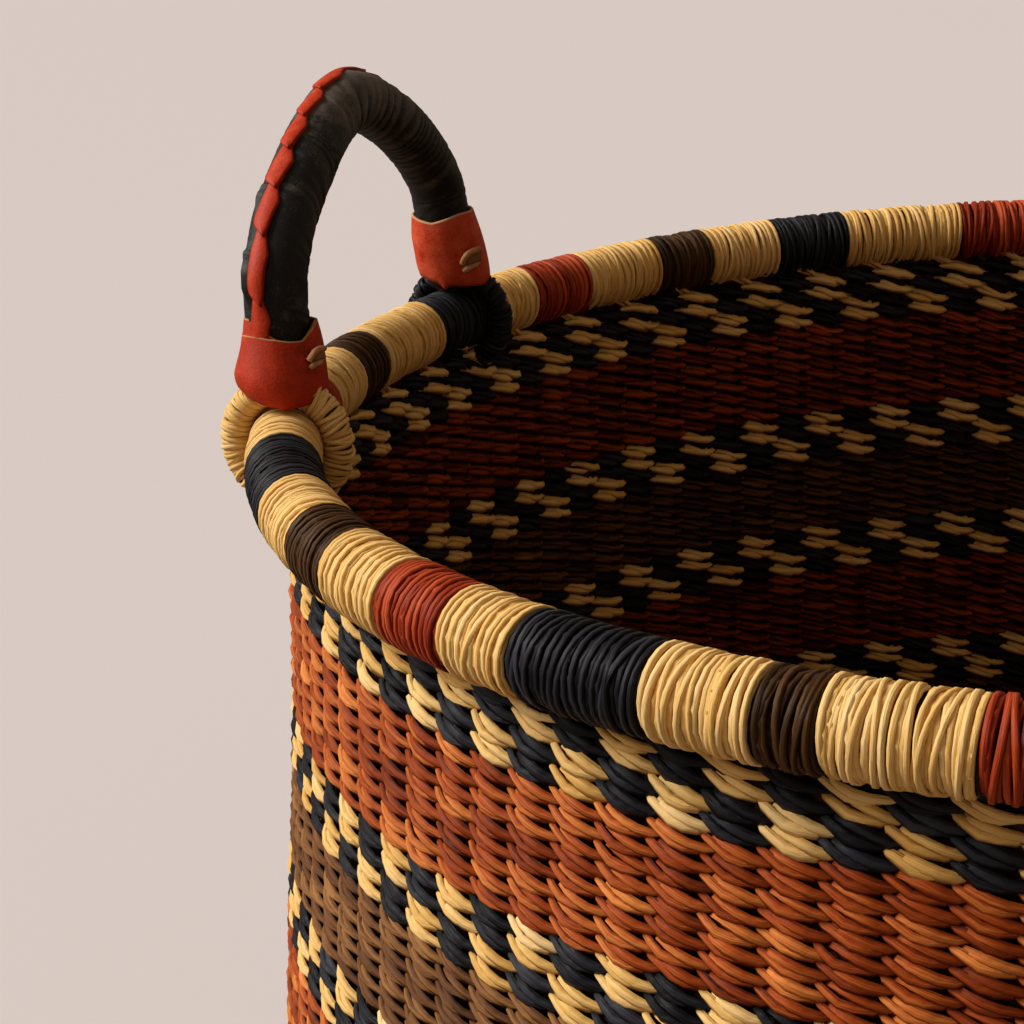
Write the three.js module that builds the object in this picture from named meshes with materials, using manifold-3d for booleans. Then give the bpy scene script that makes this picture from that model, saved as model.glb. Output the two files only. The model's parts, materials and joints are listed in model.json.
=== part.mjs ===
// A round floor basket of twined grass with a wrapped rim and a leather-bound handle on each side.
// Millimetres, +Z up, handles on -X and +X. The origin is the middle of the flat underside.
import * as THREE from 'three';
import { mergeVertices } from 'three/addons/utils/BufferGeometryUtils.js';
import Module from 'manifold-3d';

const wasm = await Module();
wasm.setup();

// Gaps between pieces that touch
const fitGap = 0.3;
const runningGap = 0.45; // between a handle's loops and the rim that they turn on
const slotGap = 0.5; // round each loop where it goes through the wall

// Rim roll: a bundle of stalks bound with natural straw, let in for the coloured stretches
const rimRadius = 228; // centreline
const rollRadius = 10;
const strawThickness = 1.4; // of the turns in a coloured stretch
const rollSides = 10;
const longestStep = 7.5; // degrees of the roll from one section to the next, at most
const patternRepeats = 9;
const patternTurn = 104.2; // degrees from +X to the start of the first repeat
const stretchColours = ['rust', 'natural', 'black', 'natural', 'brown', 'natural'];
const evenStretches = [7.4, 6.3, 8, 6.3, 5, 7]; // shares of a repeat
const unevenRepeats = [ // degrees of each stretch, going round anticlockwise, where the binding is uneven
  [7, 10.5, 6.8, 6.7, 5.5, 7.8],
  [6.4, 4.8, 8.3, 9.2, 5, 6.5],
  [6, 9.3, 9.1, 6.4, 5.3, 6.2],
  [5.7, 4.9, 8.1, 5.6, 3.2, 6.9],
];

// Wall: upright stakes with twined bands outside them
const roundSegments = 36;
const bandThickness = 2.2;
const stakeWallThickness = 3.6;
const firstBandGap = 1; // under the rim roll
const bandHeights = { check: 17.5, rust: 32.5, brown: 26.5 };
const bandOrder = [
  'check', 'rust', 'check', 'brown',
  'check', 'rust', 'check', 'brown',
  'check', 'rust', 'check', 'brown',
];
const belly = 13.5; // how far the wall swells past the rim's centreline
const bellyDepth = 215; // below the rim's centreline
const footDraw = 34; // how far the wall draws in again, from the belly to the floor
const footRoundness = 2.5;

// Base: a woven disc that turns up into the foot
const baseThickness = 8;
const footHeight = 29; // above the disc

// Handles
const handleHalfSpan = 69; // from the middle to each loop
const handleHeight = 78; // arch centreline above the hinge
const legHeight = 40; // straight part of each leg
const legDraw = 5.8; // how far each leg leans in over that height
const archFullness = 1.38; // 1 is an ellipse, more draws the shoulders in
const handleTilt = 3.7; // degrees outwards, at rest
const leatherRadius = 8.4;
const leatherThickness = 2.1;
const archSteps = 14;
const tubeSegments = 5; // a half of a tube's sides
const lacingWidth = 5;
const lacingThickness = 1.2;
const lacingSeat = 0.6; // off the leather, whose facets are flatter than the arch
const lacingTurn = 10; // degrees from the arch's outer edge towards the outside
const cuffHeight = 16.5;
const cuffThickness = 1.5;
const cuffFlare = 1; // how much wider the cuff is at its foot
const pegRadius = 1.9;
const pegLength = 2.2;
const pegHeight = 9; // above the cuff's foot
const pegTurns = { natural: 158, black: 135 }; // degrees round the leg

// Loops: each leg's core goes on as a ring round the rim, bound with straw
const loopCoreRadius = 1.7;
const strandThickness = 1.7;
const strandWidth = 2.9;
const strandSeat = 0.5; // from the loop's core to its straw turns
const windingTurns = 16;
const windingSteps = 7; // in one turn
const windingStart = 36; // degrees of the ring left bare on each side of the leg

const triangleSides = 3;
const fullTurn = 360; // degrees
const nearTurns = 0.5; // least share of a winding between two of its turns that are compared

// Sizes that follow from those above
const bandsHeight = total(bandOrder.map((colour) => bandHeights[colour]));
const firstBandDepth = rollRadius + firstBandGap;
const footTop = baseThickness + footHeight;
const rimHeight = footTop + bandsHeight + firstBandDepth;
const loopTubeRadius = loopCoreRadius + strandSeat + strandThickness;
const handleAngle = Math.asin(handleHalfSpan / rimRadius);
const hingeDistance = rimRadius * Math.cos(handleAngle);
const loopRadius = (rollRadius + loopTubeRadius) / Math.cos(handleAngle) + runningGap;
const leatherStart = loopRadius + loopTubeRadius;
const legLean = Math.atan2(legDraw, legHeight);
const legLength = Math.hypot(legDraw, legHeight);
const halfSide = Math.PI / (2 * tubeSegments); // turns a round piece so that its sides match the arch's
const coreRadius = leatherRadius - leatherThickness - fitGap;
const cuffInner = leatherRadius + fitGap;
const cuffFoot = cuffInner + cuffThickness + cuffFlare;
const cuffBottom = legFoot(cuffFoot);
const cuffTop = cuffBottom + cuffHeight;
const pegOut = cuffInner + cuffThickness + cuffFlare * (1 - pegHeight / cuffHeight) + fitGap;

const colours = {
  natural: 0xe3c27a,
  rust: 0xa8432b,
  wallRust: 0xb5582a,
  black: 0x26262b,
  brown: 0x4a3526,
  wallBrown: 0x6e4a30,
  check: 0x85745a,
  stakes: 0xb88a3c,
  leather: 0x15130f,
  redLeather: 0xc2402a,
  rawhide: 0xb98d5c,
};

// The rim seen from a hinge: its farthest reach from the hinge line, at a distance along that line
function rollReach(along) {
  const slant = along * Math.tan(handleAngle);
  const curve = (along * along) / (2 * rimRadius);
  return rollRadius / Math.cos(handleAngle) + slant + curve;
}

// How far up a leg a piece of this radius ends square, clear of the rim at every turn of the handle
function legFoot(radius) {
  return rollReach(radius) + runningGap + radius * Math.tan(legLean);
}

// Moves a piece from the upright axis through the middle of the hinge line onto a leg
function ontoLeg(geometry, side) {
  return geometry.rotateX(side * legLean).translate(0, side * handleHalfSpan, 0);
}

// Outer radius of the wall at a height: it swells to the belly, then draws in to the foot
function outsideAt(height) {
  const depth = rimHeight - height;
  if (depth < bellyDepth) {
    return rimRadius + (belly * (1 - Math.cos((Math.PI * depth) / bellyDepth))) / 2;
  }
  const fall = (depth - bellyDepth) / (rimHeight - bellyDepth);
  return rimRadius + belly - footDraw * fall ** footRoundness;
}

// Height of the roll's underside, with its seat gap, at a distance in or out of its centreline
function underRoll(offset) {
  const reach = rollRadius + 2 * fitGap;
  return rimHeight - Math.sqrt(Math.max(reach * reach - offset * offset, 0));
}

// Turns a closed geometry's faces outwards
function facedOut(geometry) {
  const points = geometry.getAttribute('position');
  const index = geometry.index.array;
  const corner = [new THREE.Vector3(), new THREE.Vector3(), new THREE.Vector3()];
  let volume = 0;
  for (let at = 0; at < index.length; at += triangleSides) {
    corner.forEach((vector, turn) => vector.fromBufferAttribute(points, index[at + turn]));
    volume += corner[0].dot(corner[1].cross(corner[2]));
  }
  if (volume < 0) {
    index.reverse();
  }
  return geometry;
}

// A closed mesh with its shared vertices joined, and without the triangles that this folds flat
function welded(geometry) {
  const bare = geometry.index ? geometry.clone() : mergeVertices(geometry.clone());
  bare.deleteAttribute('normal');
  bare.deleteAttribute('uv');
  const merged = mergeVertices(bare, 1e-4);
  const kept = [];
  const index = merged.index.array;
  for (let at = 0; at < index.length; at += triangleSides) {
    const [a, b, c] = index.slice(at, at + triangleSides);
    if (a !== b && b !== c && c !== a) {
      kept.push(a, b, c);
    }
  }
  merged.setIndex(kept);
  return facedOut(merged);
}

function toSolid(geometry) {
  const mesh = welded(geometry);
  const vertProperties = new Float32Array(mesh.getAttribute('position').array);
  const triVerts = new Uint32Array(mesh.index.array);
  return new wasm.Manifold(new wasm.Mesh({ numProp: 3, vertProperties, triVerts }));
}

function toGeometry(solid) {
  const mesh = solid.getMesh();
  const geometry = new THREE.BufferGeometry();
  geometry.setAttribute('position', new THREE.BufferAttribute(mesh.vertProperties, 3));
  geometry.setIndex(Array.from(mesh.triVerts));
  geometry.computeVertexNormals();
  return geometry;
}

// Joins rings of points one after another. Closed ends meet, open ones get a flat cap.
function loft(rings, closed) {
  const sides = rings[0].length;
  const index = [];
  const joins = closed ? rings.length : rings.length - 1;
  for (let ring = 0; ring < joins; ring += 1) {
    const here = ring * sides;
    const there = ((ring + 1) % rings.length) * sides;
    for (let side = 0; side < sides; side += 1) {
      const beside = (side + 1) % sides;
      index.push(here + side, there + side, there + beside);
      index.push(here + side, there + beside, here + beside);
    }
  }
  const last = (rings.length - 1) * sides;
  for (let side = 1; side < sides - 1 && !closed; side += 1) {
    index.push(0, side, side + 1);
    index.push(last, last + side + 1, last + side);
  }
  const geometry = new THREE.BufferGeometry().setFromPoints(rings.flat());
  geometry.setIndex(index);
  return facedOut(geometry);
}

// A profile of [radius, height] pairs turned about the basket's axis
function turned(profile, segments) {
  const points = profile.map(([radius, height]) => new THREE.Vector2(radius, height));
  return welded(new THREE.LatheGeometry(points, segments).rotateX(Math.PI / 2));
}

function piece(name, geometry, colour, roughness) {
  const material = new THREE.MeshStandardMaterial({ color: colours[colour], roughness, metalness: 0 });
  const mesh = new THREE.Mesh(geometry, material);
  mesh.name = name;
  return mesh;
}

// One section across the rim roll, about the rim's centreline
function rollSection(azimuth, radius) {
  const section = [];
  for (let side = 0; side < rollSides; side += 1) {
    const angle = (2 * Math.PI * side) / rollSides;
    const out = rimRadius + radius * Math.cos(angle);
    const up = radius * Math.sin(angle);
    section.push(new THREE.Vector3(out * Math.cos(azimuth), out * Math.sin(azimuth), up));
  }
  return section;
}

// Sections of the roll from one azimuth to another
function rollStretch(start, end, steps, radius) {
  const sections = [];
  for (let step = 0; step <= steps; step += 1) {
    sections.push(rollSection(start + ((end - start) * step) / steps, radius));
  }
  return sections;
}

function total(values) {
  return values.reduce((sum, value) => sum + value, 0);
}

// Degrees of each stretch in one repeat of the rim's colours: the uneven ones, or a share of what they leave
function repeatWidths(repeat) {
  if (repeat <= unevenRepeats.length) {
    return unevenRepeats[repeat - 1];
  }
  const left = fullTurn - total(unevenRepeats.flat());
  const perShare = left / (patternRepeats - unevenRepeats.length) / total(evenStretches);
  return evenStretches.map((share) => share * perShare);
}

// The roll, and the coloured sleeves of straw turns let into it
function makeRim() {
  const rim = new THREE.Group();
  const grooveRadius = rollRadius - strawThickness - fitGap;
  const endGap = fitGap / (rimRadius - rollRadius);
  const sections = [];
  let azimuth = THREE.MathUtils.degToRad(patternTurn);
  for (let repeat = 1; repeat <= patternRepeats; repeat += 1) {
    const widths = repeatWidths(repeat);
    stretchColours.forEach((colour, at) => {
      const end = azimuth + THREE.MathUtils.degToRad(widths[at]);
      const bare = colour === 'natural';
      const steps = Math.ceil(widths[at] / longestStep);
      sections.push(...rollStretch(azimuth, end, steps, bare ? rollRadius : grooveRadius));
      if (!bare) {
        const inside = rollStretch(end - endGap, azimuth + endGap, steps, rollRadius - strawThickness);
        const rings = [...rollStretch(azimuth + endGap, end - endGap, steps, rollRadius), ...inside];
        rim.add(piece(`rim_wrap_${colour}_${repeat}`, loft(rings, true), colour, 0.6));
      }
      azimuth = end;
    });
  }
  rim.add(piece('rim_roll', loft(sections, true), 'natural', 0.65));
  rim.position.z = rimHeight;
  return rim;
}

// A ring about Y, at a loop's place in the handle's own frame
function loopRing(side, tubeRadius, sides, steps) {
  const ring = new THREE.TorusGeometry(loopRadius, tubeRadius, sides, steps);
  return ring.rotateX(Math.PI / 2).translate(0, side * handleHalfSpan, 0);
}

// Takes the loops' slots out of a piece of the wall
function slotted(geometry) {
  let solid = toSolid(geometry);
  [-1, 1].forEach((handleSide) => {
    [-1, 1].forEach((side) => {
      const slot = loopRing(side, loopTubeRadius + slotGap, 10, 32);
      slot.translate(handleSide * hingeDistance, 0, rimHeight);
      solid = solid.subtract(toSolid(slot));
    });
  });
  return toGeometry(solid);
}

function makeWall() {
  const wall = new THREE.Group();
  const slotBottom = rimHeight - loopRadius - loopTubeRadius - slotGap;
  const heights = [];
  const counts = { check: 0, rust: 0, brown: 0 };
  const bandColours = { check: 'check', rust: 'wallRust', brown: 'wallBrown' };
  let top = rimHeight - firstBandDepth;
  bandOrder.forEach((colour) => {
    const upper = top - fitGap / 2;
    const lower = top - bandHeights[colour] + fitGap / 2;
    const profile = [
      [outsideAt(lower), lower],
      [outsideAt(upper), upper],
      [outsideAt(upper) - bandThickness, upper],
      [outsideAt(lower) - bandThickness, lower],
      [outsideAt(lower), lower],
    ];
    const ring = turned(profile, roundSegments);
    const shape = upper > slotBottom ? slotted(ring) : ring;
    counts[colour] += 1;
    wall.add(piece(`${colour}_band_${counts[colour]}`, shape, bandColours[colour], 0.7));
    heights.push(top);
    top -= bandHeights[colour];
  });
  heights.push(footTop, baseThickness + footHeight / 2, baseThickness + fitGap);
  wall.add(piece('stake_wall', makeStakeWall(heights), 'stakes', 0.8));
  wall.add(piece('woven_base', makeBase(), 'wallRust', 0.75));
  return wall;
}

// The stakes as one shell, from the base's disc to the underside of the roll
function makeStakeWall(heights) {
  const outer = bandThickness + fitGap;
  const inner = outer + stakeWallThickness;
  const outside = heights.map((height) => [outsideAt(height) - outer, height]);
  const fewer = heights.filter((height, at) => at % 4 === 0 || at === heights.length - 1);
  const inside = fewer.map((height) => [outsideAt(height) - inner, height]);
  const profile = [
    [rimRadius - inner, underRoll(inner)],
    [rimRadius - outer, underRoll(outer)],
    ...outside,
    ...inside.reverse(),
    [rimRadius - inner, underRoll(inner)],
  ];
  return slotted(turned(profile, roundSegments));
}

// A flat disc whose edge turns up outside the foot of the stakes
function makeBase() {
  const middle = baseThickness + footHeight / 2;
  const top = footTop - fitGap / 2;
  const profile = [
    [0, 0],
    [outsideAt(0), 0],
    [outsideAt(baseThickness), baseThickness],
    [outsideAt(middle), middle],
    [outsideAt(top), top],
    [outsideAt(top) - bandThickness, top],
    [outsideAt(middle) - bandThickness, middle],
    [outsideAt(baseThickness) - bandThickness, baseThickness],
    [0, baseThickness],
  ];
  return turned(profile, roundSegments);
}

// The arch's centreline in its own plane, between two points at one distance from the hinge:
// a straight leg, the arch, and a straight leg, or less of the arch where the distance is past the legs
class HandleArch extends THREE.Curve {
  constructor(start) {
    super();
    const rise = Math.max(start - legLength, 0) / (handleHeight - legHeight);
    this.leg = Math.max(legLength - start, 0);
    this.legShare = this.leg > 0 ? 0.08 : 0;
    this.reach = Math.acos(rise ** (1 / archFullness));
  }

  getPoint(t, target = new THREE.Vector3()) {
    const fromEnd = Math.min(t, 1 - t);
    const side = t < 0.5 ? -1 : 1;
    if (fromEnd < this.legShare) {
      const up = (legLength - this.leg * (1 - fromEnd / this.legShare)) / legLength;
      return target.set(0, side * (handleHalfSpan - legDraw * up), legHeight * up);
    }
    const turn = this.reach * (1 - (fromEnd - this.legShare) / (0.5 - this.legShare));
    const across = side * Math.sin(turn) ** archFullness;
    const up = Math.max(Math.cos(turn), 0) ** archFullness;
    const reach = handleHalfSpan - legDraw;
    return target.set(0, reach * across, legHeight + (handleHeight - legHeight) * up);
  }
}

function alongArch(shape, start) {
  const extrudePath = new HandleArch(start);
  return new THREE.ExtrudeGeometry(shape, { steps: archSteps, curveSegments: tubeSegments, extrudePath });
}

function disc(radius) {
  return new THREE.Shape().absarc(0, 0, radius, 0, 2 * Math.PI, false);
}

// The stiff core: an arch whose two ends go on as rings round the rim
function makeCore() {
  let core = toSolid(alongArch(disc(coreRadius), leatherStart));
  const stubBottom = legFoot(coreRadius);
  const stubHeight = leatherStart + fitGap - stubBottom;
  [-1, 1].forEach((side) => {
    const stub = new THREE.CylinderGeometry(coreRadius, coreRadius, stubHeight, 2 * tubeSegments);
    stub.rotateX(Math.PI / 2).rotateZ(halfSide).translate(0, 0, stubBottom + stubHeight / 2);
    core = core.add(toSolid(ontoLeg(stub, side))).add(toSolid(loopRing(side, loopCoreRadius, 5, 20)));
  });
  return toGeometry(core);
}

function makeLeather() {
  const section = disc(leatherRadius);
  section.holes.push(disc(leatherRadius - leatherThickness));
  return welded(alongArch(section, leatherStart));
}

// A flat strip on the leather's outer edge, from cuff to cuff
function makeLacing() {
  const arch = new HandleArch(cuffTop + fitGap);
  const turn = THREE.MathUtils.degToRad(lacingTurn);
  const low = leatherRadius + lacingSeat;
  const high = low + lacingThickness;
  const half = lacingWidth / 2;
  const corners = [[low, -half], [high, -half], [high, half], [low, half]];
  const rings = [];
  for (let step = 0; step <= archSteps; step += 1) {
    const point = arch.getPointAt(step / archSteps);
    const ahead = arch.getTangentAt(step / archSteps);
    const outward = new THREE.Vector3(0, -ahead.z, ahead.y).applyAxisAngle(ahead, turn);
    const across = ahead.clone().cross(outward);
    const ring = corners.map(([out, aside]) => {
      return point.clone().addScaledVector(outward, out).addScaledVector(across, aside);
    });
    rings.push(ring);
  }
  return loft(rings, false);
}

// A flared leather sleeve over the foot of a leg, cut out for the loop below it
function makeCuff(side) {
  const profile = [
    [cuffFoot, 0],
    [cuffInner + cuffThickness, cuffHeight],
    [cuffInner, cuffHeight],
    [cuffFoot - cuffThickness, 0],
    [cuffFoot, 0],
  ];
  const upright = turned(profile, 2 * tubeSegments).rotateZ(halfSide).translate(0, 0, cuffBottom);
  const sleeve = ontoLeg(upright, side);
  const loop = toSolid(loopRing(side, loopTubeRadius + fitGap, 10, 32));
  return toGeometry(toSolid(sleeve).subtract(loop));
}

function makePeg(side, turnDegrees) {
  const turn = THREE.MathUtils.degToRad(turnDegrees);
  const peg = new THREE.CylinderGeometry(pegRadius * 0.7, pegRadius, pegLength, 6);
  peg.rotateZ(-Math.PI / 2).translate(pegOut + pegLength / 2, 0, 0).rotateZ(turn);
  return welded(ontoLeg(peg.translate(0, 0, cuffBottom + pegHeight), side));
}

// The middle of the straw strand, wound round the ring as one unbroken coil
function windingPoint(share) {
  const sweep = 2 * Math.PI - 2 * THREE.MathUtils.degToRad(windingStart);
  const round = Math.PI / 2 + (2 * Math.PI - sweep) / 2 + share * sweep;
  const turn = share * windingTurns * 2 * Math.PI;
  const coil = loopCoreRadius + strandSeat + strandThickness / 2;
  const spoke = new THREE.Vector3(Math.cos(round), 0, Math.sin(round));
  const outward = spoke.clone().multiplyScalar(Math.cos(turn));
  outward.y += Math.sin(turn);
  const point = spoke.multiplyScalar(loopRadius).addScaledVector(outward, coil);
  return { point, outward };
}

function makeWinding(side) {
  const count = windingTurns * windingSteps;
  const rings = [];
  for (let step = 0; step <= count; step += 1) {
    const { point, outward } = windingPoint(step / count);
    const ahead = windingPoint((step + 0.5) / count).point;
    const behind = windingPoint((step - 0.5) / count).point;
    const across = ahead.sub(behind).cross(outward).normalize();
    const corners = [[-1, -1], [1, -1], [1, 1], [-1, 1]];
    const ring = corners.map(([sideways, up]) => {
      const corner = point.clone().addScaledVector(across, (sideways * strandWidth) / 2);
      return corner.addScaledVector(outward, (up * strandThickness) / 2);
    });
    rings.push(ring);
  }
  return loft(rings, false).translate(0, side * handleHalfSpan, 0);
}

// The least space between one turn of a winding and the next, measured on points of its edges
function leastWindingGap() {
  const samples = 48;
  const edge = (turn, sideways) => {
    const share = turn / windingTurns;
    const { point, outward } = windingPoint(share);
    const ahead = windingPoint(share + 1e-4).point;
    const across = ahead.sub(point).cross(outward).normalize();
    return point.addScaledVector(across, (sideways * strandWidth) / 2);
  };
  let least = Infinity;
  for (let here = 0; here <= samples; here += 1) {
    for (let there = 0; there <= samples; there += 1) {
      const from = here / samples;
      const to = 1 + (there - samples / 2) / samples;
      if (to - from > nearTurns) {
        [-1, 1].forEach((sideways) => {
          const space = edge(from, sideways).distanceTo(edge(to, -sideways));
          least = Math.min(least, space);
        });
      }
    }
  }
  return least;
}

// One handle in its own frame: the hinge line is Y through the origin, and +X is out of the basket
function makeHandle(sideName, ends) {
  const handle = new THREE.Group();
  handle.add(piece(`${sideName}_handle_core`, makeCore(), 'stakes', 0.8));
  handle.add(piece(`${sideName}_handle_leather`, makeLeather(), 'leather', 0.5));
  handle.add(piece(`${sideName}_handle_lacing`, makeLacing(), 'redLeather', 0.5));
  ends.forEach(({ side, end, straw }) => {
    const name = `${sideName}_${end}`;
    handle.add(piece(`${name}_cuff`, makeCuff(side), 'redLeather', 0.5));
    handle.add(piece(`${name}_peg`, makePeg(side, pegTurns[straw]), 'rawhide', 0.7));
    handle.add(piece(`${name}_loop_winding`, makeWinding(side), straw, 0.65));
  });
  handle.rotation.y = THREE.MathUtils.degToRad(handleTilt);
  const mount = new THREE.Group();
  mount.add(handle);
  mount.position.set(hingeDistance, 0, rimHeight);
  return mount;
}

const rightHandle = makeHandle('right', [
  { side: 1, end: 'back', straw: 'natural' },
  { side: -1, end: 'front', straw: 'black' },
]);

const leftHandle = makeHandle('left', [
  { side: 1, end: 'front', straw: 'natural' },
  { side: -1, end: 'back', straw: 'black' },
]);
const leftHalf = new THREE.Group();
leftHalf.add(leftHandle);
leftHalf.rotation.z = Math.PI;

const basket = new THREE.Group();
basket.add(makeWall(), makeRim(), leftHalf, rightHandle);

console.log(`least gap between a winding's turns: ${leastWindingGap().toFixed(2)} mm`);

export default basket;
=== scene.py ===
import json
import math

import bpy
import numpy as np
from mathutils import Matrix, Vector


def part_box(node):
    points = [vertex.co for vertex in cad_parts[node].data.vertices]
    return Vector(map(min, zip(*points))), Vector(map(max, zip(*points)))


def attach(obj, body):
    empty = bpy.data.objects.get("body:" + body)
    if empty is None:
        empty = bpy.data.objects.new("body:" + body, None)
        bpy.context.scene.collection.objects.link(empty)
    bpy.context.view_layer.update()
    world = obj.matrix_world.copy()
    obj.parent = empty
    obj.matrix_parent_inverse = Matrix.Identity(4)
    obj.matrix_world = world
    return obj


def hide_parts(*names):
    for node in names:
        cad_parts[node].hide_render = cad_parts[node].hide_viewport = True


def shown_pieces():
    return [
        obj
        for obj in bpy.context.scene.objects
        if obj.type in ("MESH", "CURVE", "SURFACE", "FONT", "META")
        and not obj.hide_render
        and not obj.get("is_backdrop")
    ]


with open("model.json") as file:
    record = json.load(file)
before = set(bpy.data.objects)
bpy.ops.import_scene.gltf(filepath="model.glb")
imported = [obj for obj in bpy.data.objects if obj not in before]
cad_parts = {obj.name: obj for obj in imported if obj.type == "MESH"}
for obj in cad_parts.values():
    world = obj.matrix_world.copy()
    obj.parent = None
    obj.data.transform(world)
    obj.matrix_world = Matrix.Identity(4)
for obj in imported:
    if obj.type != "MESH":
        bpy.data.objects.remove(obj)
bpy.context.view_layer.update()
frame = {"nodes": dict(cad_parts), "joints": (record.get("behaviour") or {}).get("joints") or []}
nodes = frame["nodes"]
print("frame loaded:", len(nodes), "nodes")

mm = 0.001
scene = bpy.context.scene
scene.view_settings.view_transform = "Standard"


# Colours and materials

def linear(hexCode):  # sRGB hex to linear: ((c + 0.055) / 1.055) ** 2.4, or c / 12.92 near black
    parts = [int(hexCode[at:at + 2], 16) / 255 for at in (1, 3, 5)]
    return [p / 12.92 if p <= 0.04045 else ((p + 0.055) / 1.055) ** 2.4 for p in parts] + [1.0]


# Sets or links a node's inputs. A node given as a value stands for its first output.
def plug(tree, node, inputs):
    for key, value in inputs.items():
        if isinstance(value, bpy.types.Node):
            value = value.outputs[0]
        if isinstance(value, bpy.types.NodeSocket):
            tree.links.new(value, node.inputs[key])
        else:
            node.inputs[key].default_value = value


def addNode(tree, kind, inputs, ramp=(), **settings):  # a ramp's colours stand at equal steps
    made = tree.nodes.new("ShaderNode" + kind)
    for key, value in settings.items():
        setattr(made, key, value)
    for _ in ramp[2:]:
        made.color_ramp.elements.new(0.5)
    for number, hexCode in enumerate(ramp):
        made.color_ramp.elements[number].position = number / (len(ramp) - 1)
        made.color_ramp.elements[number].color = linear(hexCode)
    plug(tree, made, inputs)
    return made


def newMaterial(name, inputs):
    material = bpy.data.materials.new(name)
    material.use_nodes = True
    tree = material.node_tree
    shader = tree.nodes["Principled BSDF"]
    plug(tree, shader, inputs)
    return material, tree, shader


# Dyed or natural grass straw, split and twisted by hand: fibres run along it, each length has its own tone,
# it has painted light along its crest and painted shade at its edges, and it has the soft satin gloss of a
# dry stalk. The UV map is in mm, along the straw and round it, with a crest every 3.2 mm round.
def strawMaterial(name, dark, middle, light, roughness=0.5, fleck=None):
    material, tree, shader = newMaterial(name, {
        "Roughness": roughness, "IOR": 1.45, "Specular IOR Level": 0.16})
    uv = addNode(tree, "UVMap", {}, uv_map="strand")
    tone = addNode(tree, "Attribute", {}, attribute_name="tone").outputs["Fac"]
    # fibres 0.35 mm wide and about 9 mm long
    fibreAt = addNode(tree, "VectorMath", {0: uv, 1: (0.11, 2.8, 1)}, operation="MULTIPLY")
    fibre = addNode(tree, "TexNoise", {
        "Vector": fibreAt, "Scale": 1.0, "Detail": 3.0, "Roughness": 0.6, "Distortion": 0.3})
    # patches of dye and age, 15 mm long
    patchAt = addNode(tree, "VectorMath", {0: uv, 1: (0.07, 0.25, 1)}, operation="MULTIPLY")
    patch = addNode(tree, "TexNoise", {"Vector": patchAt, "Scale": 1.0, "Detail": 2.0})
    # painted light along each crest and painted shade at the straw's edges, one crest every 3.2 mm round
    across = addNode(tree, "SeparateXYZ", {0: uv}).outputs["Y"]
    turn = addNode(tree, "Math", {0: across, 1: 2 * math.pi / 3.2}, operation="MULTIPLY")
    crest = addNode(tree, "Math", {0: turn}, operation="COSINE")
    paintedLight = addNode(tree, "Math", {0: crest, 1: 0.14, 2: tone}, operation="MULTIPLY_ADD")
    spread = addNode(tree, "Math", {0: paintedLight, 1: 0.9}, operation="MULTIPLY")
    mixed = addNode(tree, "Math", {0: fibre, 1: 0.9, 2: spread}, operation="MULTIPLY_ADD")
    shade = addNode(tree, "Math", {0: patch, 1: 0.6, 2: mixed}, operation="MULTIPLY_ADD")
    place = addNode(tree, "MapRange", {"Value": shade, "From Min": 0.65, "From Max": 1.75})
    colour = addNode(tree, "ValToRGB", {"Fac": place}, ramp=(dark, middle, light))
    if fleck:  # a few stretches keep the green or the bare straw under the dye
        cover = addNode(tree, "MapRange", {
            "Value": patch, "From Min": 0.62, "From Max": 0.74, "To Max": 0.55})
        mix = addNode(tree, "Mix", {"Factor": cover, 6: colour, 7: linear(fleck)}, data_type="RGBA")
        colour = mix.outputs[2]
    rough = addNode(tree, "MapRange", {
        "Value": fibre, "From Min": 0.3, "From Max": 0.7,
        "To Min": roughness - 0.08, "To Max": roughness + 0.14})
    bump = addNode(tree, "Bump", {"Height": fibre, "Strength": 0.9, "Distance": 0.4 * mm})
    plug(tree, shader, {"Base Color": colour, "Roughness": rough, "Normal": bump})
    return material


# Goat leather, dyed on the grain side and burnished by hand: a fine pebbled grain, darker in the hollows,
# with painted light on the folds that comes in through the tone attribute. UV in mm.
def leatherMaterial(name, dark, middle, light, roughness, gloss):
    material, tree, shader = newMaterial(name, {
        "Roughness": roughness, "IOR": 1.5, "Specular IOR Level": gloss})
    uv = addNode(tree, "UVMap", {}, uv_map="strand")
    tone = addNode(tree, "Attribute", {}, attribute_name="tone").outputs["Fac"]
    # pebbles 0.55 mm across
    grain = addNode(tree, "TexVoronoi", {"Vector": uv, "Scale": 1.8, "Randomness": 1.0}, feature="F1")
    mottle = addNode(tree, "TexNoise", {"Vector": uv, "Scale": 0.22, "Detail": 4.0, "Roughness": 0.65})
    shade = addNode(tree, "Math", {0: grain, 1: -0.25, 2: mottle}, operation="MULTIPLY_ADD")
    toned = addNode(tree, "Math", {0: shade, 1: tone}, operation="ADD")
    place = addNode(tree, "MapRange", {"Value": toned, "From Min": -0.3, "From Max": 1.2})
    colour = addNode(tree, "ValToRGB", {"Fac": place}, ramp=(dark, middle, light))
    rough = addNode(tree, "MapRange", {
        "Value": mottle, "From Min": 0.3, "From Max": 0.7,
        "To Min": roughness - 0.08, "To Max": roughness + 0.12})
    bump = addNode(tree, "Bump", {"Height": grain, "Strength": 0.35, "Distance": 0.12 * mm})
    plug(tree, shader, {"Base Color": colour, "Roughness": rough, "Normal": bump})
    return material


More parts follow.
